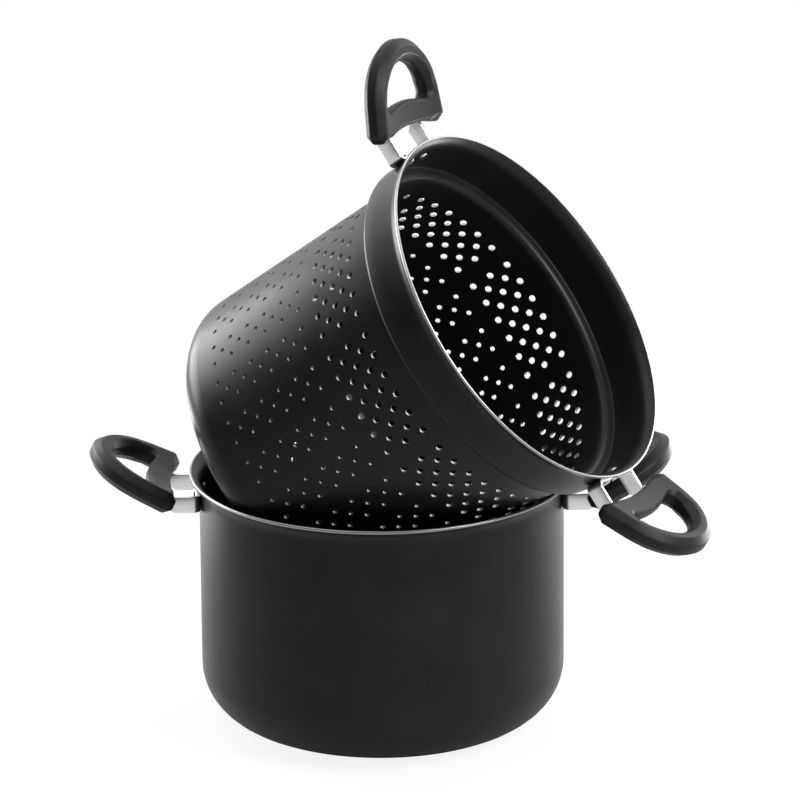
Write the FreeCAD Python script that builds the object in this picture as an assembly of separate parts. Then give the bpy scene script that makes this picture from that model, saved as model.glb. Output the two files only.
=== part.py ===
import FreeCAD, Part
import os
from math import acos, atan2, cos, radians, sin

V = FreeCAD.Vector

# Pot: a pressed sheet vessel on the origin, +Z up, with a handle on each side along X.
pot_outer_radius = 120.0
pot_height = 170.0
pot_wall = 2.2
pot_floor = 2.6
pot_corner_radius = 37.0
pot_lip_bend = 12.0
pot_lip_angle_deg = 65.0

# Strainer insert: its own upright frame has the rim plane at zero and the axis on Z.
insert_length = 214.0
insert_wall = 1.8
insert_body_radius = 111.8
insert_bottom_radius = 111.0
insert_corner_radius = 24.0
collar_outer_radius = 121.0
collar_height = 34.0
collar_lip_bend = 9.0
collar_lip_angle_deg = 60.0
shoulder_bend = 3.0

# The insert leans in the pot's mouth: place of its rim centre, and how far it is tipped.
rim_centre_x = 96.0
rim_centre_y = -43.5
rim_centre_z = 294.4
lean_tilt_deg = 53.6
lean_azimuth_deg = -24.0
insert_turn_deg = -4.0

# Perforation: blocks of staggered holes under the collar, strips of smaller holes below them,
# and rings in the bottom.
block_count = 8
block_columns = 5
block_longest_column = 6
hole_pitch_deg = 7.35
hole_column_step = 7.6
hole_radius = 2.3
hole_sides = 6
first_column_below_shoulder = 20.5
strips_per_block = 3
strip_pairs = 6
strip_pair_step = 15.0
strip_hole_radius = 1.7
strip_hole_sides = 4
first_pair_below_shoulder = 66.0
bottom_ring_step = 17.0
bottom_ring_count = 4
bottom_holes_per_ring = 6

# Strap: a U of flat steel, its web against the wall and its two legs in the handle.
pot_strap_below_rim = 17.5
insert_strap_below_rim = 16.0
strap_height = 11.0
strap_thickness = 2.5
strap_span = 48.0
strap_reach = 29.0

# Handle loop: plan sizes from its pot-side edge, the loop rises outwards.
loop_standoff = 17.0
loop_lift = 6.0
loop_rise_deg = 26.0
loop_length = 59.5
loop_half_width = 45.5
loop_thickness = 15.0
loop_edge = 4.6
loop_end_radius = 43.5
base_arch_radius = 150.0
base_arch_depth = 3.0
horn_radius = 6.5
crossbar_width = 16.0
crossbar_arch_radius = 97.0
finger_radius = 31.5
finger_end = 45.0
finger_corner = 5.0

# Rivets, two in each web.
rivet_spacing = 18.0
rivet_shank_radius = 2.4
rivet_head_radius = 4.5
rivet_head_height = 1.8
rivet_tail_radius = 4.0
rivet_tail_height = 1.2

# Fits and cuts.
seat_gap = 0.15
slot_clearance = 0.1
overrun = 5.0
same_place = 0.01

Z_AXIS = V(0, 0, 1)
FULL_TURN = 360.0


def polar(centre, radius, angle_deg):
    """Point in the XZ plane at an angle about a centre."""
    angle = radians(angle_deg)
    return V(centre.x + radius * cos(angle), 0, centre.z + radius * sin(angle))


def bend(centre, radius, start_deg, end_deg):
    """Arc in the XZ plane about a centre."""
    middle_deg = (start_deg + end_deg) / 2
    ends = [polar(centre, radius, angle) for angle in (start_deg, middle_deg, end_deg)]
    return Part.Arc(*ends).toShape()


def joined(pieces):
    """Closed wire through arcs and loose corner points, with straight lines between them."""
    edges = []
    for number, piece in enumerate(pieces):
        following = pieces[(number + 1) % len(pieces)]
        start = piece if isinstance(piece, V) else piece.lastVertex(True).Point
        end = following if isinstance(following, V) else following.firstVertex(True).Point
        if not isinstance(piece, V):
            edges.append(piece)
        if not start.isEqual(end, same_place):
            edges.append(Part.makeLine(start, end))
    return Part.Wire(edges)


def turned(pieces):
    """Solid of revolution about Z from a closed section in the XZ plane."""
    return Part.Face(joined(pieces)).revolve(V(), Z_AXIS, FULL_TURN)


def pot_lip_start():
    """Height at which the wall begins to bend out into the lip."""
    return pot_height - (pot_lip_bend + pot_wall) * sin(radians(pot_lip_angle_deg))


def make_pot_shell():
    lip_centre = V(pot_outer_radius + pot_lip_bend, 0, pot_lip_start())
    lip_end_deg = 180.0 - pot_lip_angle_deg
    corner_r = pot_outer_radius - pot_corner_radius
    inner_corner = pot_corner_radius - pot_floor
    outer_centre = V(corner_r, 0, pot_corner_radius)
    inner_centre = V(pot_outer_radius - pot_wall - inner_corner, 0, pot_floor + inner_corner)
    section = [
        V(0, 0, 0),
        bend(outer_centre, pot_corner_radius, -90.0, 0),
        bend(lip_centre, pot_lip_bend, 180.0, lip_end_deg),
        bend(lip_centre, pot_lip_bend + pot_wall, lip_end_deg, 180.0),
        bend(inner_centre, inner_corner, 0, -90.0),
        V(0, 0, pot_floor),
    ]
    return turned(section)


def make_strainer_blank():
    """The insert before its holes, upright, with the top of the rim at zero."""
    lip_start = -(collar_lip_bend + insert_wall) * sin(radians(collar_lip_angle_deg))
    lip_centre = V(collar_outer_radius + collar_lip_bend, 0, lip_start)
    lip_end_deg = 180.0 - collar_lip_angle_deg
    step_out = V(collar_outer_radius - shoulder_bend, 0, shoulder_bend - collar_height)
    step_in = V(insert_body_radius + shoulder_bend, 0, -shoulder_bend - collar_height)
    corner = V(insert_bottom_radius - insert_corner_radius, 0, insert_corner_radius - insert_length)
    section = [
        V(0, 0, -insert_length),
        bend(corner, insert_corner_radius, -90.0, 0),
        bend(step_in, shoulder_bend, 180.0, 90.0),
        bend(step_out, shoulder_bend, -90.0, 0),
        bend(lip_centre, collar_lip_bend, 180.0, lip_end_deg),
        bend(lip_centre, collar_lip_bend + insert_wall, lip_end_deg, 180.0),
        bend(step_out, shoulder_bend - insert_wall, 0, -90.0),
        bend(step_in, shoulder_bend + insert_wall, 90.0, 180.0),
        bend(corner, insert_corner_radius - insert_wall, 0, -90.0),
        V(0, 0, insert_wall - insert_length),
    ]
    return turned(section)


def hole_tool(radius, sides):
    """Prism along X from zero that cuts one hole through the insert's sheet."""
    step = FULL_TURN / sides
    ring = [V(0, radius * cos(radians(step * k)), radius * sin(radians(step * k))) for k in range(sides)]
    return Part.Face(Part.makePolygon(ring + ring[:1])).extrude(V(insert_wall + 2 * overrun, 0, 0))


def in_wall(tool, angle_deg, below_shoulder):
    """Copy of a hole tool set through the insert's wall."""
    cutter = tool.copy()
    cutter.translate(V(insert_bottom_radius - insert_wall - overrun, 0, -collar_height - below_shoulder))
    cutter.rotate(V(), Z_AXIS, angle_deg)
    return cutter


def block_holes(block_deg):
    """One staggered block: long and short columns by turns."""
    tool = hole_tool(hole_radius, hole_sides)
    cutters = []
    for column in range(block_columns):
        count = block_longest_column - column % 2
        below = first_column_below_shoulder + column * hole_column_step
        for row in range(count):
            angle_deg = block_deg + (row - (count - 1) / 2) * hole_pitch_deg
            cutters.append(in_wall(tool, angle_deg, below))
    return cutters


def strip_holes(strip_deg):
    """One strip: pairs of small holes with a single one between each pair and the next."""
    tool = hole_tool(strip_hole_radius, strip_hole_sides)
    cutters = []
    for pair in range(strip_pairs):
        below = first_pair_below_shoulder + pair * strip_pair_step
        for side in (-1, 1):
            cutters.append(in_wall(tool, strip_deg + side * hole_pitch_deg / 2, below))
        if pair < strip_pairs - 1:
            cutters.append(in_wall(tool, strip_deg, below + strip_pair_step / 2))
    return cutters


def wall_holes():
    """Blocks of holes all round the wall, each with its strips below it."""
    block_step_deg = FULL_TURN / block_count
    strip_step_deg = block_step_deg / strips_per_block
    cutters = []
    for block in range(block_count):
        block_deg = block * block_step_deg
        cutters += block_holes(block_deg)
        for strip in range(strips_per_block):
            middle = strip - (strips_per_block - 1) / 2
            cutters += strip_holes(block_deg + middle * strip_step_deg)
    return cutters


def bottom_holes():
    """Rings of holes round one in the middle of the flat bottom."""
    tool = hole_tool(hole_radius, hole_sides)
    tool.rotate(V(), V(0, 1, 0), -90.0)
    tools = []
    for ring in range(bottom_ring_count + 1):
        count = max(1, ring * bottom_holes_per_ring)
        for place in range(count):
            cutter = tool.copy()
            cutter.translate(V(ring * bottom_ring_step, 0, -insert_length - overrun))
            cutter.rotate(V(), Z_AXIS, place * FULL_TURN / count)
            tools.append(cutter)
    return tools


def make_strap(wall_radius, level):
    """U of flat steel against a wall of the given radius, on the +X side."""
    inside = wall_radius + seat_gap
    low = V(0, 0, level - strap_height / 2)
    outer = Part.makeCylinder(inside + strap_thickness, strap_height, low)
    web = outer.cut(Part.makeCylinder(inside, strap_height, low))
    half_span = strap_span / 2
    window = Part.makeBox(strap_span, strap_span, strap_height, V(inside - half_span, -half_span, low.z))
    web = web.common(window)
    leg_start = (inside ** 2 - half_span ** 2) ** 0.5
    leg_length = wall_radius + strap_reach - leg_start
    for side in (-half_span, half_span - strap_thickness):
        leg = Part.makeBox(leg_length, strap_thickness, strap_height, V(leg_start, side, low.z))
        core = Part.makeCylinder(inside, strap_height, low)
        web = web.fuse(leg.cut(core))
    holes = [rivet_place(rivet_hole(), wall_radius, level, side) for side in (-1, 1)]
    return web.removeSplitter().cut(Part.makeCompound(holes))


def rivet_hole():
    """Cutter for a rivet's shank, along X from the wall's outer face."""
    radius = rivet_shank_radius + slot_clearance
    length = pot_wall + strap_thickness + 2 * overrun
    return Part.makeCylinder(radius, length, V(-pot_wall - overrun, 0, 0), V(1, 0, 0))


def rivet_place(shape, wall_radius, level, side):
    """Put a shape made at the wall's face on one of the two rivet axes."""
    shape = shape.copy()
    shape.translate(V(wall_radius, 0, level))
    turn_deg = side * rivet_spacing / 2 / (radians(1) * wall_radius)
    shape.rotate(V(), Z_AXIS, turn_deg)
    return shape


def make_rivet(wall):
    """Domed head inside the wall, shank through wall and web, flat tail outside."""
    head_seat = -wall - seat_gap
    tail_seat = 2 * seat_gap + strap_thickness
    dome_radius = (rivet_head_radius ** 2 + rivet_head_height ** 2) / (2 * rivet_head_height)
    dome_centre = V(head_seat - rivet_head_height + dome_radius, 0, 0)
    dome_half_deg = 180.0 - acos(1 - rivet_head_height / dome_radius) / radians(1)
    section = [
        bend(dome_centre, dome_radius, 180.0, dome_half_deg),
        V(head_seat, 0, rivet_shank_radius),
        V(tail_seat, 0, rivet_shank_radius),
        V(tail_seat, 0, rivet_tail_radius),
        V(tail_seat + rivet_tail_height, 0, rivet_tail_radius),
        V(tail_seat + rivet_tail_height, 0, 0),
    ]
    return Part.Face(joined(section)).revolve(V(), V(1, 0, 0), FULL_TURN)


def make_rivets(wall_radius, wall, level):
    rivet = make_rivet(wall)
    return Part.makeCompound([rivet_place(rivet, wall_radius, level, side) for side in (-1, 1)])


def toward(start, target, distance):
    """Point at a distance from start on the way to target."""
    way = target - start
    return start + way * (distance / way.Length)


def across(point):
    """The same place on the other side of the handle's middle line."""
    return V(point.x, -point.y, point.z)


def plan_arc(start, middle, end):
    return Part.Arc(start, middle, end).toShape()


def loop_outline():
    """Outer outline in plan: arched pot side, two round horns, straight sides, round end."""
    arch = V(base_arch_depth - base_arch_radius, 0, 0)
    end = V(loop_length - loop_end_radius, 0, 0)
    horn_y = loop_half_width - horn_radius
    horn_reach = base_arch_radius + horn_radius
    horn = V(arch.x + (horn_reach ** 2 - horn_y ** 2) ** 0.5, horn_y, 0)
    arch_end = toward(arch, horn, base_arch_radius)
    lead = horn - end
    side_angle = atan2(lead.y, lead.x) - acos((loop_end_radius - horn_radius) / lead.Length)
    square = V(cos(side_angle), sin(side_angle), 0)
    side_start = horn + square * horn_radius
    side_end = end + square * loop_end_radius
    tip = horn - V(horn_radius, 0, 0)
    return joined([
        plan_arc(arch_end, V(base_arch_depth, 0, 0), across(arch_end)),
        plan_arc(across(arch_end), across(tip), across(side_start)),
        plan_arc(across(side_end), V(loop_length, 0, 0), side_end),
        plan_arc(side_start, tip, arch_end),
    ])


def finger_hole():
    """Finger hole in plan: a round end, two small corners and the crossbar's arched edge."""
    arch = V(base_arch_depth + crossbar_width - crossbar_arch_radius, 0, 0)
    end = V(finger_end - finger_radius, 0, 0)
    from_arch = crossbar_arch_radius + finger_corner
    from_end = finger_radius - finger_corner
    apart = end.x - arch.x
    along = (from_arch ** 2 - from_end ** 2 + apart ** 2) / (2 * apart)
    corner = V(arch.x + along, (from_arch ** 2 - along ** 2) ** 0.5, 0)
    bar_end = toward(arch, corner, crossbar_arch_radius)
    round_end = toward(end, corner, finger_radius)
    middle = toward(corner, V(bar_end.x, round_end.y, 0), finger_corner)
    return joined([
        plan_arc(across(bar_end), V(arch.x + crossbar_arch_radius, 0, 0), bar_end),
        plan_arc(bar_end, middle, round_end),
        plan_arc(round_end, V(finger_end, 0, 0), across(round_end)),
        plan_arc(across(round_end), across(middle), across(bar_end)),
    ])


def make_loop(wall_radius, level):
    """Moulded loop: the outline with its finger hole, edges eased, raised outwards."""
    plate = Part.Face(loop_outline()).extrude(V(0, 0, loop_thickness))
    opening = Part.Face(finger_hole()).extrude(V(0, 0, loop_thickness))
    loop = plate.cut(opening)
    flat_edges = [edge for edge in loop.Edges if edge.BoundBox.ZLength < same_place]
    loop = loop.makeChamfer(loop_edge, flat_edges)
    loop.translate(V(0, 0, -loop_thickness / 2))
    loop.rotate(V(), V(0, 1, 0), -loop_rise_deg)
    loop.translate(V(wall_radius + loop_standoff, 0, level + loop_lift))
    return loop.cut(leg_slots(wall_radius, level))


def leg_slots(wall_radius, level):
    """Slots that take the strap's legs, with clearance all round."""
    slots = []
    width = strap_thickness + 2 * slot_clearance
    height = strap_height + 2 * slot_clearance
    for side in (-1, 1):
        middle = side * (strap_span - strap_thickness) / 2
        corner = V(wall_radius, middle - width / 2, level - height / 2)
        slots.append(Part.makeBox(strap_reach + slot_clearance, width, height, corner))
    return Part.makeCompound(slots)


def handle_set(wall_radius, wall, level):
    """Strap, loop and rivets of one handle on the +X side of an upright vessel."""
    return {
        "strap": make_strap(wall_radius, level),
        "handle": make_loop(wall_radius, level),
        "rivets": make_rivets(wall_radius, wall, level),
    }


def rivet_cutters(wall_radius, level):
    """Shank holes for both handles of a vessel."""
    right = [rivet_place(rivet_hole(), wall_radius, level, side) for side in (-1, 1)]
    left = [turned_about(hole, 180.0) for hole in right]
    return right + left


def turned_about(shape, angle_deg):
    shape = shape.copy()
    shape.rotate(V(), Z_AXIS, angle_deg)
    return shape


def lean(shape):
    """Move a shape from the insert's upright frame to where it leans in the pot."""
    turn = FreeCAD.Rotation(Z_AXIS, insert_turn_deg)
    tip = FreeCAD.Rotation(V(0, 1, 0), lean_tilt_deg)
    swing = FreeCAD.Rotation(Z_AXIS, lean_azimuth_deg)
    centre = V(rim_centre_x, rim_centre_y, rim_centre_z)
    shape = shape.copy()
    rest = FreeCAD.Placement(centre, swing.multiply(tip).multiply(turn))
    shape.Placement = rest.multiply(shape.Placement)
    return shape


def build():
    nodes = {}
    pot_level = pot_height - pot_strap_below_rim
    insert_level = -insert_strap_below_rim
    pot_shell = make_pot_shell()
    nodes["pot_shell"] = pot_shell.cut(Part.makeCompound(rivet_cutters(pot_outer_radius, pot_level)))
    pot_set = handle_set(pot_outer_radius, pot_wall, pot_level)
    for piece, shape in pot_set.items():
        nodes["pot_right_" + piece] = shape
        nodes["pot_left_" + piece] = turned_about(shape, 180.0)

    cutters = wall_holes() + bottom_holes() + rivet_cutters(collar_outer_radius, insert_level)
    strainer = make_strainer_blank().cut(Part.makeCompound(cutters))
    nodes["strainer_shell"] = lean(strainer)
    insert_set = handle_set(collar_outer_radius, insert_wall, insert_level)
    for piece, shape in insert_set.items():
        nodes["strainer_lower_" + piece] = lean(shape)
        nodes["strainer_upper_" + piece] = lean(turned_about(shape, 180.0))
    return nodes


os.makedirs("parts", exist_ok=True)
for name, shape in build().items():
    shape.exportStep("parts/" + name + ".step")
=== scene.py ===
from math import acos, atan2, cos, hypot, pi, radians, sin, sqrt

import bmesh
import bpy
from mathutils import Matrix, Vector
from mathutils.geometry import delaunay_2d_cdt


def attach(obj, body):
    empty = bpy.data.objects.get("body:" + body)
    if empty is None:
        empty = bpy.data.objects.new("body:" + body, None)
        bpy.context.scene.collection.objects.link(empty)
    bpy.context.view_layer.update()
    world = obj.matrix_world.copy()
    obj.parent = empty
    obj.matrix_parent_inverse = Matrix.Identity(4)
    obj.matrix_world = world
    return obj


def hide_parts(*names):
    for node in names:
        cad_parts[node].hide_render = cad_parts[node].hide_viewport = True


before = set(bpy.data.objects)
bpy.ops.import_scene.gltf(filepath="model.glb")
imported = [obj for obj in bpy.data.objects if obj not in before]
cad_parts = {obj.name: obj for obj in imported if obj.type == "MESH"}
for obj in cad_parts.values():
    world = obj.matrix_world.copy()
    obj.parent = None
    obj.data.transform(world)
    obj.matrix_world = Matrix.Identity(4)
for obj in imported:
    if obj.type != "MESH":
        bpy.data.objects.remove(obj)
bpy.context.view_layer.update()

MM = 0.001
TURN = 2 * pi

# Sizes of the object in millimetres, and its angles, the same as in its solids.
POT_R, POT_H, POT_WALL, POT_FLOOR, POT_CORNER = 120.0, 170.0, 2.2, 2.6, 37.0
POT_LIP, POT_LIP_ANGLE = 12.0, radians(65)
INSERT_L, INSERT_WALL, BODY_R, BOTTOM_R, INSERT_CORNER = 214.0, 1.8, 111.8, 111.0, 24.0
COLLAR_R, COLLAR_H, COLLAR_LIP, COLLAR_LIP_ANGLE, SHOULDER = 121.0, 34.0, 9.0, radians(60), 3.0
POT_STRAP_BELOW, INSERT_STRAP_BELOW = 17.5, 16.0
STRAP_H, STRAP_T, STRAP_SPAN, STRAP_REACH = 11.0, 2.5, 48.0, 29.0
SEAT = 0.15
LOOP_STANDOFF, LOOP_LIFT, LOOP_RISE = 17.0, 6.0, radians(26)
LOOP_L, LOOP_HALF, LOOP_T, LOOP_END = 59.5, 45.5, 15.0, 43.5
ARCH_R, ARCH_DEPTH, HORN_R, BAR_W, BAR_R = 150.0, 3.0, 6.5, 16.0, 97.0
FINGER_R, FINGER_END, FINGER_CORNER = 31.5, 45.0, 5.0
RIVET_SPACING, SHANK_R, HEAD_R, HEAD_H, TAIL_R, TAIL_H = 18.0, 2.4, 4.5, 1.8, 4.0, 1.2

# Holes of the insert: blocks of large ones under the collar, strips of small ones, drains in the bottom.
BLOCKS, HOLE_PITCH_DEG = 8, 7.35
LARGE_R, LARGE_COLUMNS, LARGE_ROWS, LARGE_TOP, LARGE_STEP = 2.3, 5, 6, 54.5, 7.6
SMALL_R, SMALL_ROWS, SMALL_TOP, SMALL_STEP = 1.7, 6, 100.0, 15.0
STRIPS_DEG = (-15, 0, 15)
DRAIN_R, DRAIN_RINGS, DRAIN_STEP, DRAINS_PER_RING = 2.3, 4, 17.0, 6

# Trim that is made or varied here alone, in millimetres or as a share of the size that it follows.
STRAP_BEND, STRAP_SLANT, STRAP_EASE, EASE_DIP_SHARE = 3.5, 13.0, 0.5, 0.3
LIMB_FROM, LIMB_FADE, HORN_FROM, HORN_FADE = 20.0, 10.0, 26.0, 8.0
SADDLE_DEPTH, SADDLE_HALF, SADDLE_FADE = 3.4, 38.0, 14.0
BAR_BEVEL, EXTRA_BEVEL, BEVEL_SOFT_SHARE = 1.8, 2.8, 0.13
TAIL_EASE, TAIL_SIDE_SHARE = 0.5, 0.7

# How finely the meshes are divided. A turned profile ends a hair from its axis.
COLUMNS, HOLE_SIDES, RIVET_COLUMNS, AXIS_R = 160, 12, 32, 0.01
LIP_STEPS, LIP_EDGE_STEPS, POT_CORNER_STEPS, POT_WALL_STEPS = 10, 6, 12, 6
BODY_ROWS, COLLAR_STEPS, SHOULDER_STEPS, INSERT_CORNER_STEPS = 18, 3, 5, 10
FLOOR_RINGS, BOTTOM_RINGS = (20, 40, 60), ((20, 24), (40, 48), (60, 80))
SEAM_DEG, CLEAR_OF_HOLE = 22.5, 0.7
ARCH_STEPS, HORN_STEPS, LOOP_END_STEPS = 20, 16, 30
BAR_STEPS, FINGER_CORNER_STEPS, FINGER_END_STEPS = 14, 10, 22
BEVEL_STEPS, GRID_X, GRID_Y, CLEAR_OF_RIM = 3, range(1, 60, 2), range(-44, 45, 2), 1.2
WEB_STEPS, BEND_STEPS, LEG_POINTS, DOME_STEPS = 12, 8, (8.0, 14.0), 8
SAME_POINT, SAME_FLAT_POINT = 0.01 * MM, 1e-5

# Places: the pot stands at the origin and the insert leans on its rim, in millimetres.
LEAN = (Matrix.Translation(Vector((96.0, -43.5, 294.4))) @ Matrix.Rotation(radians(-24), 4, "Z")
        @ Matrix.Rotation(radians(53.6), 4, "Y") @ Matrix.Rotation(radians(-4), 4, "Z"))
UPRIGHT = Matrix.Identity(4)
HALF_TURN = Matrix.Rotation(pi, 4, "Z")

# The photograph's camera, fitted to the object, in metres and in pixels of the photograph.
CAMERA_TARGET, CAMERA_DISTANCE = Vector((0.0126, 0, 0.21604)), 4.0
CAMERA_ELEVATION, CAMERA_ROLL = radians(18.43), radians(-0.45)
FOCAL_PX, PHOTO_PX, SENSOR_MM, CLIP_END = 6106.25, 800, 36, 50


# Shader helpers

def new_material(name):
    """A new material with its nodes, links and main shader."""
    material = bpy.data.materials.new(name)
    material.use_nodes = True
    nodes, links = material.node_tree.nodes, material.node_tree.links
    return material, nodes, links, nodes["Principled BSDF"]


def texture(nodes, links, kind, scale, stretch=(1, 1, 1), turn=UPRIGHT, **values):
    """A procedural texture in the piece's coordinates, turned with it and stretched along its axes."""
    place = nodes.new("ShaderNodeTexCoord")
    mapping = nodes.new("ShaderNodeMapping")
    mapping.vector_type = "TEXTURE"
    mapping.inputs["Rotation"].default_value = turn.to_euler()
    mapping.inputs["Scale"].default_value = stretch
    links.new(place.outputs["Object"], mapping.inputs["Vector"])
    node = nodes.new(kind)
    node.inputs["Scale"].default_value = scale
    for key, value in values.items():
        node.inputs[key].default_value = value
    links.new(mapping.outputs["Vector"], node.inputs["Vector"])
    return node


def ramp(nodes, links, source, low, high, start=0.3, end=0.7):
    """Colour ramp between two greys or colours over a value."""
    node = nodes.new("ShaderNodeValToRGB")
    for stop, place, value in zip(node.color_ramp.elements, (start, end), (low, high)):
        stop.position = place
        stop.color = value if isinstance(value, tuple) else (value, value, value, 1)
    links.new(source, node.inputs["Fac"])
    return node.outputs["Color"]


def bump(nodes, links, height, shader, strength, distance):
    """Fine relief on a shader from a texture's value."""
    node = nodes.new("ShaderNodeBump")
    node.inputs["Strength"].default_value = strength
    node.inputs["Distance"].default_value = distance
    links.new(height, node.inputs["Height"])
    links.new(node.outputs["Normal"], shader.inputs["Normal"])


def mix_colours(nodes, links, factor, first, second):
    """First colour, changing to the second, a constant, with a factor."""
    mix = nodes.new("ShaderNodeMix")
    mix.data_type = "RGBA"
    links.new(factor, mix.inputs["Factor"])
    links.new(first, mix.inputs["A"])
    mix.inputs["B"].default_value = second
    return mix.outputs["Result"]


def combine(nodes, links, operation, first, second):
    """The result of a math operation on two values."""
    node = nodes.new("ShaderNodeMath")
    node.operation = operation
    links.new(first, node.inputs[0])
    links.new(second, node.inputs[1])
    return node.outputs["Value"]


def rise_to_one(nodes, links, source, start, end, lowest=0.0):
    """A value that climbs from the lowest to 1 while its source goes from start to end."""
    node = nodes.new("ShaderNodeMapRange")
    node.inputs["From Min"].default_value = start
    node.inputs["From Max"].default_value = end
    node.inputs["To Min"].default_value = lowest
    links.new(source, node.inputs["Value"])
    return node.outputs["Result"]


# Materials

def coating(name):
    """Black non-stick coat: sprayed orange peel, faint mottling and fine mineral flecks."""
    dark, light, mineral = (0.008, 0.008, 0.0083, 1), (0.012, 0.012, 0.0124, 1), (0.035, 0.035, 0.036, 1)
    material, nodes, links, shader = new_material(name)
    mottle = texture(nodes, links, "ShaderNodeTexNoise", scale=30, Detail=6)
    fleck = texture(nodes, links, "ShaderNodeTexVoronoi", scale=900)
    base = ramp(nodes, links, mottle.outputs["Fac"], dark, light)
    spot = ramp(nodes, links, fleck.outputs["Distance"], 1, 0, start=0.08, end=0.13)
    links.new(mix_colours(nodes, links, spot, base, mineral), shader.inputs["Base Color"])
    links.new(ramp(nodes, links, mottle.outputs["Fac"], 0.30, 0.38), shader.inputs["Roughness"])
    shader.inputs["Specular IOR Level"].default_value = 0.16
    peel = texture(nodes, links, "ShaderNodeTexNoise", scale=700, Detail=3)
    bump(nodes, links, peel.outputs["Fac"], shader, strength=0.12, distance=0.0004)
    return material


def bare_metal(name, shade, rough, scratch_stretch=(1, 1, 1), turn=UPRIGHT):
    """Bare metal with fine scratches, drawn out where they are stretched, and varied roughness."""
    scratch_share, blue_share, rough_spread = 0.86, 1.01, 0.12
    material, nodes, links, shader = new_material(name)
    shader.inputs["Metallic"].default_value = 1
    scratch = texture(nodes, links, "ShaderNodeTexNoise", 900, scratch_stretch, turn, Detail=4)
    cloud = texture(nodes, links, "ShaderNodeTexNoise", scale=60, Detail=3)
    low = shade * scratch_share
    dark, light = (low, low, low, 1), (shade, shade, shade * blue_share, 1)
    links.new(ramp(nodes, links, scratch.outputs["Fac"], dark, light), shader.inputs["Base Color"])
    roughness = ramp(nodes, links, cloud.outputs["Fac"], rough, rough + rough_spread)
    links.new(roughness, shader.inputs["Roughness"])
    bump(nodes, links, scratch.outputs["Fac"], shader, strength=0.15, distance=0.0002)
    return material


def plastic(name):
    """Black moulded plastic: fine spark grain, soft wear sheen and faint flow marks."""
    dark, light, flow_stretch = (0.008, 0.008, 0.0083, 1), (0.013, 0.013, 0.0134, 1), (1, 1, 0.4)
    material, nodes, links, shader = new_material(name)
    flow = texture(nodes, links, "ShaderNodeTexNoise", 45, flow_stretch, Detail=5)
    links.new(ramp(nodes, links, flow.outputs["Fac"], dark, light), shader.inputs["Base Color"])
    links.new(ramp(nodes, links, flow.outputs["Fac"], 0.40, 0.50), shader.inputs["Roughness"])
    shader.inputs["Specular IOR Level"].default_value = 0.2
    grain = texture(nodes, links, "ShaderNodeTexNoise", scale=1400, Detail=2)
    bump(nodes, links, grain.outputs["Fac"], shader, strength=0.10, distance=0.0003)
    return material


BRUSHED = (16, 16, 1)
COAT = coating("nonstick_coat")
EDGE = bare_metal("bare_lip_edge", shade=0.42, rough=0.32)
PUNCHED = bare_metal("punched_hole_edge", shade=0.46, rough=0.42)
POT_STEEL = bare_metal("brushed_pot_strap", 0.95, 0.26, BRUSHED)
STRAINER_STEEL = bare_metal("brushed_strainer_strap", 0.95, 0.26, BRUSHED, LEAN)
RIVET = bare_metal("bright_rivet", shade=0.86, rough=0.20)
PLASTIC = plastic("black_handle_plastic")

# Material numbers of a shell's faces, in the order of its materials.
COATED, BARE, HOLE_WALL = range(3)


# Mesh helpers

def add_piece(name, verts, faces, place, body, nodes, materials, marks=None, sharp_deg=40):
    """Make a mesh object from millimetre points, put it on its body and hide the CAD nodes that it stands
    for.
    """
    mesh = bpy.data.meshes.new(name)
    mesh.from_pydata([(place @ Vector(v)) * MM for v in verts], [], faces)
    for material in materials:
        mesh.materials.append(material)
    if marks is not None:
        mesh.polygons.foreach_set("material_index", marks)
    work = bmesh.new()
    work.from_mesh(mesh)
    bmesh.ops.remove_doubles(work, verts=work.verts, dist=SAME_POINT)
    bmesh.ops.recalc_face_normals(work, faces=work.faces)
    for face in work.faces:
        face.smooth = True
    for edge in work.edges:
        if len(edge.link_faces) == 2 and edge.calc_face_angle(0) > radians(sharp_deg):
            edge.smooth = False
    work.to_mesh(mesh)
    work.free()
    piece = bpy.data.objects.new(name, mesh)
    bpy.context.scene.collection.objects.link(piece)
    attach(piece, body)
    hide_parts(*nodes)
    return piece


def join(parts):
    """One list each of points, faces and marks from several parts, with the faces renumbered."""
    verts, faces, marks = [], [], []
    for part_verts, part_faces, part_marks in parts:
        first = len(verts)
        verts += part_verts
        faces += [tuple(first + v for v in face) for face in part_faces]
        marks += part_marks
    return verts, faces, marks


def between(start, end, steps, first=0):
    """Evenly spaced values from start to end, or from a later step on."""
    return [start + (end - start) * k / steps for k in range(first, steps + 1)]


def arc(cx, cy, radius, start, end, steps):
    """Points on an arc."""
    return [(cx + radius * cos(angle), cy + radius * sin(angle)) for angle in between(start, end, steps)]


def faced_arc(cx, cy, radius, angles, facing):
    """Points on an arc with their normals: away from its centre for 1, towards it for -1."""
    return [(cx + radius * cos(angle), cy + radius * sin(angle), facing * cos(angle), facing * sin(angle))
            for angle in angles]


def ring(radius, count, turn=0.0):
    """Points evenly round a circle."""
    angles = [turn + TURN * k / count for k in range(count)]
    return [(radius * cos(angle), radius * sin(angle)) for angle in angles]


def lathe_points(profile, columns, turn=0.0):
    """Points of a profile of radii and heights that is turned round the Z axis."""
    return [(x, y, z) for r, z in profile for x, y in ring(r, columns, turn)]


def lathe_faces(rings, first, columns):
    """Quads between neighbouring rings of points, numbered from first."""
    faces = []
    for number in range(rings - 1):
        for column in range(columns):
            near, far = first + number * columns, first + (number + 1) * columns
            following = (column + 1) % columns
            faces.append((near + column, near + following, far + following, far + column))
    return faces


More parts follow.
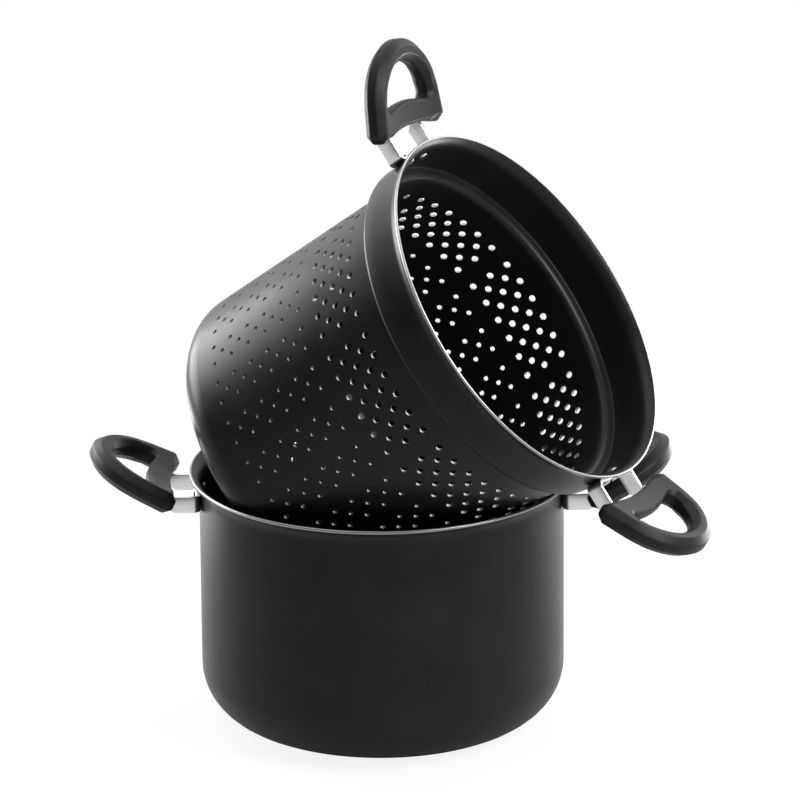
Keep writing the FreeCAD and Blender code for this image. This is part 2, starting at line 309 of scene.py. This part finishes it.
def lip_profile(centre_r, centre_z, bend, wall, angle):
    """Outside of a flared lip, its rounded bare edge and its inside, as three lists."""
    end = pi - angle
    outside = arc(centre_r, centre_z, bend, pi, end, LIP_STEPS)
    inside = arc(centre_r, centre_z, bend + wall, end, pi, LIP_STEPS)
    middle = bend + wall / 2
    edge_r = centre_r + middle * cos(end) - wall / 2 * sin(end)
    edge_z = centre_z + middle * sin(end) + wall / 2 * cos(end)
    edge = arc(edge_r, edge_z, wall / 2, end - pi, end, LIP_EDGE_STEPS)
    return outside, edge, inside


def turned_shell(before, edge, after, turn=0.0):
    """A turned shell from three stretches of its profile. The middle one, a lip's edge, is bare."""
    profile = before + edge + after
    faces = lathe_faces(len(profile), 0, COLUMNS)
    bare_rings = range(len(before) - 1, len(before) + len(edge) - 1)
    marks = [BARE if edge and number // COLUMNS in bare_rings else COATED for number in range(len(faces))]
    return lathe_points(profile, COLUMNS, turn), faces, marks


# Pot: one turned shell with its bare lip edge

def make_pot():
    """Profile from the middle of the underside, up the outside, over the lip and down the inside."""
    lip_z = POT_H - (POT_LIP + POT_WALL) * sin(POT_LIP_ANGLE)
    outside, edge, inside = lip_profile(POT_R + POT_LIP, lip_z, POT_LIP, POT_WALL, POT_LIP_ANGLE)
    inner_r, inner_corner = POT_R - POT_WALL, POT_CORNER - POT_FLOOR
    foot = arc(POT_R - POT_CORNER, POT_CORNER, POT_CORNER, -pi / 2, 0, POT_CORNER_STEPS)
    well = arc(inner_r - inner_corner, POT_CORNER, inner_corner, 0, -pi / 2, POT_CORNER_STEPS)
    heights = between(POT_CORNER, lip_z, POT_WALL_STEPS)[1:-1]
    before = [(r, 0) for r in (AXIS_R, *FLOOR_RINGS)] + foot + [(POT_R, z) for z in heights] + outside[:-1]
    after = inside[1:] + [(inner_r, z) for z in reversed(heights)] + well
    after += [(r, POT_FLOOR) for r in (*reversed(FLOOR_RINGS), AXIS_R)]
    verts, faces, marks = turned_shell(before, edge, after)
    add_piece("pot_body", verts, faces, UPRIGHT, "pot", ["pot_shell"], [COAT, EDGE], marks)


# Strainer insert: a perforated wall and bottom, with a turned collar and a turned corner

def wall_holes():
    """Holes of the wall: angle in degrees, depth below the rim and radius."""
    holes = []
    for block in range(BLOCKS):
        middle = 360 / BLOCKS * block
        for column in range(LARGE_COLUMNS):
            count = LARGE_ROWS - column % 2
            depth = LARGE_TOP + LARGE_STEP * column
            for row in range(count):
                holes.append((middle + (row - (count - 1) / 2) * HOLE_PITCH_DEG, depth, LARGE_R))
        for strip in STRIPS_DEG:
            for row in range(SMALL_ROWS):
                depth = SMALL_TOP + SMALL_STEP * row
                holes += [(middle + strip + side * HOLE_PITCH_DEG / 2, depth, SMALL_R) for side in (-1, 1)]
            for row in range(SMALL_ROWS - 1):
                holes.append((middle + strip, SMALL_TOP + SMALL_STEP / 2 + SMALL_STEP * row, SMALL_R))
    return holes


def bottom_holes():
    """Holes of the bottom: place and radius, one in the middle and rings round it."""
    holes = [(0.0, 0.0, DRAIN_R)]
    for number in range(1, DRAIN_RINGS + 1):
        holes += [(x, y, DRAIN_R) for x, y in ring(DRAIN_STEP * number, DRAINS_PER_RING * number)]
    return holes


def triangulate(points, loops):
    """Triangles over flat points with closed loops of them kept as edges."""
    edges = [(loop[k], loop[(k + 1) % len(loop)]) for loop in loops for k in range(len(loop))]
    result = delaunay_2d_cdt([Vector(p) for p in points], edges, [], 0, SAME_FLAT_POINT)
    assert len(result[0]) == len(points), "points were merged"
    return [tuple(face) for face in result[2]]


def perforated(points, holes):
    """Flat points with the holes' outlines added, the outlines as loops and the triangles outside holes."""
    points = [p for p in points
              if all(hypot(p[0] - x, p[1] - y) > radius + CLEAR_OF_HOLE for x, y, radius in holes)]
    loops, free = [], len(points)
    for x, y, radius in holes:
        loops.append(list(range(len(points), len(points) + HOLE_SIDES)))
        points += [(x + dx, y + dy) for dx, dy in ring(radius, HOLE_SIDES)]
    triangles = []
    for face in triangulate(points, loops):
        owners = {(v - free) // HOLE_SIDES if v >= free else -1 - v for v in face}
        if len(owners) > 1:
            triangles.append(face)
    return points, loops, triangles


def pierced_sheet(points, holes, front, back):
    """Both faces of a sheet and the walls of its holes, from a flat pattern and a place for each face."""
    flat, loops, triangles = perforated(points, holes)
    count = len(flat)
    verts = [front(x, y) for x, y in flat] + [back(x, y) for x, y in flat]
    faces = triangles + [tuple(v + count for v in reversed(face)) for face in triangles]
    marks = [COATED] * len(faces)
    for loop in loops:
        for a, b in zip(loop, loop[1:] + loop[:1]):
            faces.append((a, b, b + count, a + count))
            marks.append(HOLE_WALL)
    return verts, faces, marks


def strainer_wall(top, bottom):
    """The perforated wall, rolled from a flat pattern of arc lengths and depths below the rim."""
    unit = radians(1) * (BODY_R + BOTTOM_R) / 2
    step = 360 / COLUMNS
    rows = between(top, bottom, BODY_ROWS)
    flat = [(column * step * unit, row) for row in rows for column in range(COLUMNS + 1)]
    holes = [(((angle - SEAM_DEG) % 360) * unit, depth, radius) for angle, depth, radius in wall_holes()]

    def rolled(x, depth, inward=0.0):
        angle = radians(x / unit + SEAM_DEG)
        r = BODY_R + (BOTTOM_R - BODY_R) * (depth - top) / (bottom - top) - inward
        return (r * cos(angle), r * sin(angle), -depth)

    def rolled_inside(x, depth):
        return rolled(x, depth, INSERT_WALL)

    return pierced_sheet(flat, holes, rolled, rolled_inside)


def strainer_bottom():
    """The flat perforated bottom inside its rounded corner."""
    flat = [(0.0, 0.0)]
    for radius, count in BOTTOM_RINGS:
        flat += ring(radius, count)
    flat += ring(BOTTOM_R - INSERT_CORNER, COLUMNS, radians(SEAM_DEG))

    def inside(x, y):
        return (x, y, INSERT_WALL - INSERT_L)

    def outside(x, y):
        return (x, y, -INSERT_L)

    return pierced_sheet(flat, bottom_holes(), inside, outside)


def strainer_collar():
    """The stepped collar, from the shoulder's outside over the lip to the shoulder's inside."""
    lip_z = -(COLLAR_LIP + INSERT_WALL) * sin(COLLAR_LIP_ANGLE)
    lip_r = COLLAR_R + COLLAR_LIP
    outside, edge, inside = lip_profile(lip_r, lip_z, COLLAR_LIP, INSERT_WALL, COLLAR_LIP_ANGLE)
    out_r, out_z = COLLAR_R - SHOULDER, SHOULDER - COLLAR_H
    in_r, in_z = BODY_R + SHOULDER, -SHOULDER - COLLAR_H
    before = arc(in_r, in_z, SHOULDER, pi, pi / 2, SHOULDER_STEPS)
    before += arc(out_r, out_z, SHOULDER, -pi / 2, 0, SHOULDER_STEPS)
    before += [(COLLAR_R, z) for z in between(out_z, lip_z, COLLAR_STEPS)[1:-1]] + outside[:-1]
    after = inside[1:] + [(COLLAR_R - INSERT_WALL, z) for z in between(lip_z, out_z, COLLAR_STEPS)[1:-1]]
    after += arc(out_r, out_z, SHOULDER - INSERT_WALL, 0, -pi / 2, SHOULDER_STEPS)
    after += arc(in_r, in_z, SHOULDER + INSERT_WALL, pi / 2, pi, SHOULDER_STEPS)
    return turned_shell(before, edge, after, radians(SEAM_DEG))


def strainer_corner(radius, start, end):
    """One side of the rounded corner between the wall and the bottom."""
    profile = arc(BOTTOM_R - INSERT_CORNER, INSERT_CORNER - INSERT_L, radius, start, end, INSERT_CORNER_STEPS)
    return turned_shell(profile, [], [], radians(SEAM_DEG))


def round_normals(mesh, bottom):
    """Shade the perforated wall as the round wall it is, whatever way its triangles run."""
    past_wall = 0.1
    back = LEAN.inverted()
    turn = LEAN.to_3x3()
    normals = [(0.0, 0.0, 0.0)] * len(mesh.loops)
    places = [back @ (v.co / MM) for v in mesh.vertices]
    for polygon in mesh.polygons:
        points = [places[v] for v in polygon.vertices]
        if len(points) != 3 or max(-p.z for p in points) > bottom + past_wall:
            continue
        middle = sum(points, Vector()) / 3
        facing = turn.inverted() @ polygon.normal
        side = 1 if facing.x * middle.x + facing.y * middle.y > 0 else -1
        for loop, point in zip(polygon.loop_indices, points):
            normals[loop] = turn @ (Vector((point.x, point.y, 0)).normalized() * side)
    mesh.normals_split_custom_set(normals)


def make_strainer():
    """The insert's shell in one piece, with the origin of its sizes at the middle of its rim."""
    top, bottom = COLLAR_H + SHOULDER, INSERT_L - INSERT_CORNER
    verts, faces, marks = join((
        strainer_wall(top, bottom),
        strainer_bottom(),
        strainer_collar(),
        strainer_corner(INSERT_CORNER, -pi / 2, 0),
        strainer_corner(INSERT_CORNER - INSERT_WALL, 0, -pi / 2)))
    piece = add_piece("strainer_body", verts, faces, LEAN, "strainer_insert", ["strainer_shell"],
                      [COAT, EDGE, PUNCHED], marks)
    round_normals(piece.data, bottom)


# Handle loops

def mirrored(half):
    """A closed outline with normals from the half of it on one side of the X axis."""
    return half + [(x, -y, nx, -ny) for x, y, nx, ny in reversed(half[1:-1])]


def loop_outline():
    """Outer outline of a handle loop in plan, as points with outward normals."""
    arch_x, end_x = ARCH_DEPTH - ARCH_R, LOOP_L - LOOP_END
    horn_y = LOOP_HALF - HORN_R
    horn_x = arch_x + sqrt((ARCH_R + HORN_R) ** 2 - horn_y ** 2)
    arch_end = atan2(horn_y, horn_x - arch_x)
    apart_x = horn_x - end_x
    limb = atan2(horn_y, apart_x) - acos((LOOP_END - HORN_R) / hypot(apart_x, horn_y))
    half = faced_arc(arch_x, 0, ARCH_R, between(0, arch_end, ARCH_STEPS), -1)
    half += faced_arc(horn_x, horn_y, HORN_R, between(arch_end + pi, limb, HORN_STEPS, 1), 1)
    half += faced_arc(end_x, 0, LOOP_END, between(limb, 0, LOOP_END_STEPS), 1)
    return mirrored(half)


def finger_outline():
    """Finger hole in plan, as points with normals that point into the material."""
    arch_x, end_x = ARCH_DEPTH + BAR_W - BAR_R, FINGER_END - FINGER_R
    from_arch, from_end, apart = BAR_R + FINGER_CORNER, FINGER_R - FINGER_CORNER, end_x - arch_x
    along = (from_arch ** 2 - from_end ** 2 + apart ** 2) / (2 * apart)
    corner_x, corner_y = arch_x + along, sqrt(from_arch ** 2 - along ** 2)
    bar_end = atan2(corner_y, corner_x - arch_x)
    round_end = atan2(corner_y, corner_x - end_x)
    corner_angles = between(bar_end + pi, round_end, FINGER_CORNER_STEPS, 1)
    half = faced_arc(arch_x, 0, BAR_R, between(0, bar_end, BAR_STEPS), -1)
    half += faced_arc(corner_x, corner_y, FINGER_CORNER, corner_angles, 1)
    half += faced_arc(end_x, 0, FINGER_R, between(round_end, 0, FINGER_END_STEPS, 1), 1)
    return mirrored(half)


def smooth(value):
    """A value held between 0 and 1, with a soft start and end."""
    value = min(1.0, max(0.0, value))
    return value * value * (3 - 2 * value)


def crown(x, y):
    """Half thickness of a loop: its broad faces dip in a saddle along the crossbar."""
    across = max(0.0, 1 - (y / SADDLE_HALF) ** 2)
    return LOOP_T / 2 - SADDLE_DEPTH * across * (1 - smooth((x - LIMB_FROM) / SADDLE_FADE))


def bevel_width(x, y):
    """Width of the bevel along an edge: broad on the limbs and horns, narrow on the crossbar."""
    limb, horn = smooth((x - LIMB_FROM) / LIMB_FADE), smooth((abs(y) - HORN_FROM) / HORN_FADE)
    return BAR_BEVEL + EXTRA_BEVEL * max(limb, horn)


def bevel(width):
    """Flat bevel with softened corners, as (distance in from the side, distance below the face)."""
    soft = BEVEL_SOFT_SHARE * width
    points = []
    for start, corner, end in (((width + soft, 0), (width, 0), (width - soft, soft)),
                               ((soft, width - soft), (0, width), (0, width + soft))):
        for t in between(0, 1, BEVEL_STEPS):
            points.append(tuple((1 - t) ** 2 * p + 2 * t * (1 - t) * c + t * t * q
                                for p, c, q in zip(start, corner, end)))
    return points


def loop_side(outline, inward, first):
    """Side of a loop along one outline, bevelled at both faces: points, quads and its rim at each face."""
    bevels = [bevel(bevel_width(x, y)) for x, y, nx, ny in outline]
    steps, count = range(len(bevels[0])), len(outline)
    rings = [(1, k) for k in steps] + [(-1, k) for k in reversed(steps)]
    verts = []
    for side, k in rings:
        for (x, y, nx, ny), points in zip(outline, bevels):
            rim, (back, below) = points[0][0], points[k]
            height = crown(x + inward * nx * rim, y + inward * ny * rim) - below
            verts.append((x + inward * nx * back, y + inward * ny * back, side * height))
    upper = list(range(first, first + count))
    lower = [v + (len(rings) - 1) * count for v in upper]
    return verts, lathe_faces(len(rings), first, count), (upper, lower)


def within(x, y, outline):
    """Whether a flat point lies inside a closed outline."""
    inside = False
    for (ax, ay), (bx, by) in zip(outline, outline[1:] + outline[:1]):
        if (ay > y) != (by > y) and x < (bx - ax) * (y - ay) / (by - ay) + ax:
            inside = not inside
    return inside


def loop_face(verts, outer_rim, finger_rim, side):
    """Broad face of a loop between its two rims: inner points for its saddle, and triangles."""
    border, split = outer_rim + finger_rim, len(outer_rim)
    flat = [verts[v][:2] for v in border]
    outside, inside = flat[:split], flat[split:]

    def on_face(x, y):
        return within(x, y, outside) and not within(x, y, inside)

    grid = [(x, y) for x in GRID_X for y in GRID_Y
            if min(hypot(x - rx, y - ry) for rx, ry in flat) > CLEAR_OF_RIM and on_face(x, y)]
    index = border + list(range(len(verts), len(verts) + len(grid)))
    flat = flat + grid
    faces = []
    for face in triangulate(flat, [list(range(split)), list(range(split, len(border)))]):
        if on_face(sum(flat[v][0] for v in face) / 3, sum(flat[v][1] for v in face) / 3):
            faces.append(tuple(index[v] for v in face))
    return [(x, y, side * crown(x, y)) for x, y in grid], faces


def make_handle(prefix, wall, level, place, body):
    """One moulded loop, made flat and then raised to its slope at the strap."""
    verts, faces, outer_rims = loop_side(loop_outline(), -1, 0)
    finger_verts, finger_faces, finger_rims = loop_side(finger_outline(), 1, len(verts))
    verts += finger_verts
    faces += finger_faces
    for outer_rim, finger_rim, side in zip(outer_rims, finger_rims, (1, -1)):
        face_verts, face_faces = loop_face(verts, outer_rim, finger_rim, side)
        verts += face_verts
        faces += face_faces
    rise = (Matrix.Translation(Vector((wall + LOOP_STANDOFF, 0, level + LOOP_LIFT)))
            @ Matrix.Rotation(-LOOP_RISE, 4, "Y"))
    add_piece(prefix + "_grip", verts, faces, place @ rise, body, [prefix + "_handle"],
              [PLASTIC], sharp_deg=60)


# Straps and rivets

def eased_rectangle(half_width, half_height, ease):
    """Outline of a rectangle with softened corners."""
    dip = ease * EASE_DIP_SHARE
    corner = [(half_width, half_height - ease), (half_width - dip, half_height - dip),
              (half_width - ease, half_height)]
    upper = corner + [(-x, y) for x, y in reversed(corner)]
    return upper + [(x, -y) for x, y in reversed(upper)]


def strap_path(wall):
    """Middle line of a strap in plan with its normals: leg, bend, web round the wall, bend, leg."""
    middle = wall + SEAT + STRAP_T / 2
    leg_y = (STRAP_SPAN - STRAP_T) / 2
    turn_y = leg_y - STRAP_BEND
    bend_r = middle + STRAP_BEND
    swing = atan2(turn_y, sqrt(bend_r ** 2 - turn_y ** 2))
    half = faced_arc(0, 0, middle, between(0, swing, WEB_STEPS), 1)
    bend_angles = between(swing + pi, pi / 2, BEND_STEPS, 1)
    half += faced_arc(bend_r * cos(swing), turn_y, STRAP_BEND, bend_angles, -1)
    half += [(wall + reach, leg_y, 0, -1) for reach in (*LEG_POINTS, STRAP_REACH)]
    return [(x, -y, nx, -ny) for x, y, nx, ny in reversed(half[1:])] + half


def make_strap(prefix, wall, level, place, body):
    """Flat steel bent in a U, with its leg ends cut aslant under the rising handle."""
    path = strap_path(wall)
    section = eased_rectangle(STRAP_T / 2, STRAP_H / 2, STRAP_EASE)
    slope = STRAP_SLANT / STRAP_H
    verts = []
    for number, (x, y, nx, ny) in enumerate(path):
        slant = slope if number in (0, len(path) - 1) else 0.0
        for a, b in section:
            verts.append((x + nx * a - slant * (STRAP_H / 2 - b), y + ny * a, level + b))
    faces = lathe_faces(len(path), 0, len(section))
    faces += [tuple(range(len(section))), tuple(range(len(verts) - len(section), len(verts)))]
    steel = POT_STEEL if body == "pot" else STRAINER_STEEL
    add_piece(prefix + "_bracket", verts, faces, place, body, [prefix + "_strap"],
              [steel], sharp_deg=50)


def make_rivets(prefix, wall, thickness, level, place, body):
    """A pair of rivets with domed heads inside the wall and flat tails on the strap's web."""
    head, tail = -thickness - SEAT, 2 * SEAT + STRAP_T
    dome = (HEAD_R ** 2 + HEAD_H ** 2) / (2 * HEAD_H)
    sweep = acos(1 - HEAD_H / dome)
    profile = [(AXIS_R, head - HEAD_H)]
    profile += [(dome * sin(angle), head - HEAD_H + dome * (1 - cos(angle)))
                for angle in between(0, sweep, DOME_STEPS, 1)]
    profile += [(SHANK_R, head), (SHANK_R, tail), (TAIL_R, tail), (TAIL_R, tail + TAIL_H * TAIL_SIDE_SHARE),
                (TAIL_R - TAIL_EASE, tail + TAIL_H), (AXIS_R, tail + TAIL_H)]
    verts, faces = [], []
    for side in (-1, 1):
        turn = side * RIVET_SPACING / 2 / wall
        put = (Matrix.Rotation(turn, 4, "Z") @ Matrix.Translation(Vector((wall, 0, level)))
               @ Matrix.Rotation(pi / 2, 4, "Y"))
        faces += lathe_faces(len(profile), len(verts), RIVET_COLUMNS)
        verts += [tuple(put @ Vector(p)) for p in lathe_points(profile, RIVET_COLUMNS)]
    add_piece(prefix + "_rivet_pair", verts, faces, place, body, [prefix + "_rivets"],
              [RIVET], sharp_deg=35)


make_pot()
make_strainer()
POT_LEVEL, INSERT_LEVEL = POT_H - POT_STRAP_BELOW, -INSERT_STRAP_BELOW
for prefix, place, wall, thickness, level, body in (
        ("pot_right", UPRIGHT, POT_R, POT_WALL, POT_LEVEL, "pot"),
        ("pot_left", HALF_TURN, POT_R, POT_WALL, POT_LEVEL, "pot"),
        ("strainer_lower", LEAN, COLLAR_R, INSERT_WALL, INSERT_LEVEL, "strainer_insert"),
        ("strainer_upper", LEAN @ HALF_TURN, COLLAR_R, INSERT_WALL, INSERT_LEVEL, "strainer_insert")):
    make_handle(prefix, wall, level, place, body)
    make_strap(prefix, wall, level, place, body)
    make_rivets(prefix, wall, thickness, level, place, body)


# Floor, light and camera

def seen_direct(nodes, links):
    """Two switches: on for camera rays alone, and on for those and for what a reflection or glass shows."""
    path = nodes.new("ShaderNodeLightPath")
    camera = path.outputs["Is Camera Ray"]
    seen = camera
    for name in ("Is Glossy Ray", "Is Transmission Ray"):
        seen = combine(nodes, links, "MAXIMUM", seen, path.outputs[name])
    return camera, seen


def make_floor():
    """Pale floor that keeps the object's shadow, near white to the camera and dimmer in reflections, where
    shade is painted into its glow.
    """
    half, pale, white = 8, (0.9, 0.9, 0.9, 1), 1
    front_y, behind_y, front_share = -0.35, 0.25, 0.6
    foot_from, foot_to = 0.09, 0.14
    shadow_to, clear_from, near_share = 0.45, 0.9, 0.88
    mesh = bpy.data.meshes.new("floor")
    corners = [(-half, -half, 0), (half, -half, 0), (half, half, 0), (-half, half, 0)]
    mesh.from_pydata(corners, [], [(0, 1, 2, 3)])
    floor = bpy.data.objects.new("floor", mesh)
    bpy.context.scene.collection.objects.link(floor)
    material, nodes, links, shader = new_material("pale_floor")
    shader.inputs["Base Color"].default_value = pale
    shader.inputs["Roughness"].default_value = 0.9
    shader.inputs["Specular IOR Level"].default_value = 0.1
    place = nodes.new("ShaderNodeTexCoord")
    split = nodes.new("ShaderNodeSeparateXYZ")
    links.new(place.outputs["Object"], split.inputs["Vector"])
    away = nodes.new("ShaderNodeVectorMath")
    away.operation = "LENGTH"
    links.new(place.outputs["Object"], away.inputs[0])
    distance = away.outputs["Value"]

    # In a reflection the floor's glow carries painted shade: it dims towards the camera's side and, as a
    # painted shadow, under the pot.
    behind = rise_to_one(nodes, links, split.outputs["Y"], front_y, behind_y, front_share)
    painted_foot_shade = rise_to_one(nodes, links, distance, foot_from, foot_to)
    camera, seen = seen_direct(nodes, links)
    strength = nodes.new("ShaderNodeMix")
    links.new(camera, strength.inputs["Factor"])
    links.new(combine(nodes, links, "MULTIPLY", behind, painted_foot_shade), strength.inputs["A"])
    strength.inputs["B"].default_value = white
    glow = nodes.new("ShaderNodeEmission")
    links.new(strength.outputs["Result"], glow.inputs["Strength"])

    # Near the object a share of the lit floor, which holds the shadow, shows through the white.
    clear = rise_to_one(nodes, links, distance, shadow_to, clear_from, near_share)
    mix = nodes.new("ShaderNodeMixShader")
    links.new(combine(nodes, links, "MULTIPLY", seen, clear), mix.inputs["Fac"])
    links.new(shader.outputs["BSDF"], mix.inputs[1])
    links.new(glow.outputs["Emission"], mix.inputs[2])
    links.new(mix.outputs["Shader"], nodes["Material Output"].inputs["Surface"])
    mesh.materials.append(material)


def make_world():
    """White to the camera. As light it is white behind the object and dim on the camera's side."""
    white, camera_side, behind = (1, 1, 1, 1), 0.07, 1.0
    world = bpy.data.worlds.new("studio")
    bpy.context.scene.world = world
    world.use_nodes = True
    nodes, links = world.node_tree.nodes, world.node_tree.links
    background = nodes["Background"]
    place = nodes.new("ShaderNodeTexCoord")
    split = nodes.new("ShaderNodeSeparateXYZ")
    links.new(place.outputs["Generated"], split.inputs["Vector"])
    shade = ramp(nodes, links, split.outputs["Y"], camera_side, behind, start=0.0, end=0.5)
    path = nodes.new("ShaderNodeLightPath")
    colour = mix_colours(nodes, links, path.outputs["Is Camera Ray"], shade, white)
    links.new(colour, background.inputs["Color"])
    background.inputs["Strength"].default_value = 1


def make_light(name, place, target, size, power):
    """A rectangular lamp at a place, aimed at a target, in metres and watts."""
    data = bpy.data.lights.new(name, "AREA")
    data.shape = "RECTANGLE"
    data.size, data.size_y = size
    data.energy = power
    light = bpy.data.objects.new(name, data)
    light.location = place
    light.rotation_euler = (Vector(target) - Vector(place)).to_track_quat("-Z", "Y").to_euler()
    bpy.context.scene.collection.objects.link(light)


def make_camera():
    """The photograph's camera, which looks along +Y and down, and is rolled a little."""
    forward = Vector((0, cos(CAMERA_ELEVATION), -sin(CAMERA_ELEVATION)))
    right = Vector((1, 0, 0))
    up = right.cross(forward)
    across = right * cos(CAMERA_ROLL) + up * sin(CAMERA_ROLL)
    above = up * cos(CAMERA_ROLL) - right * sin(CAMERA_ROLL)
    data = bpy.data.cameras.new("camera")
    data.sensor_width = SENSOR_MM
    data.lens = SENSOR_MM * FOCAL_PX / PHOTO_PX
    data.clip_end = CLIP_END
    camera = bpy.data.objects.new("camera", data)
    turn = Matrix((across, above, -forward)).transposed().to_4x4()
    camera.matrix_world = Matrix.Translation(CAMERA_TARGET - forward * CAMERA_DISTANCE) @ turn
    bpy.context.scene.collection.objects.link(camera)
    bpy.context.scene.camera = camera


make_floor()
make_world()
make_light("top_softbox", (-0.3, 0.1, 1.8), (0.05, 0, 0.2), (1.4, 1.2), 10)
make_light("back_left_softbox", (-1.35, 1.6, 0.95), (-0.05, 0, 0.3), (1.5, 1.3), 7)
make_light("left_panel", (-0.46, 0.25, 0.34), (-0.09, 0.03, 0.25), (0.36, 0.24), 2.7)
make_light("left_low_panel", (-0.42, 0.3, 0.05), (-0.12, 0.05, 0.05), (0.3, 0.08), 0.65)
make_light("right_low_panel", (0.5, 0.42, 0.1), (0.11, 0.05, 0.09), (0.4, 0.14), 2.5)
make_light("right_softbox", (1.3, 1.2, 1.05), (0.1, 0, 0.3), (0.8, 1.0), 9)
make_light("front_fill", (1.35, -0.65, 1.4), (0.09, -0.04, 0.29), (1.0, 1.0), 45)
make_camera()
bpy.context.scene.view_settings.view_transform = "Standard"
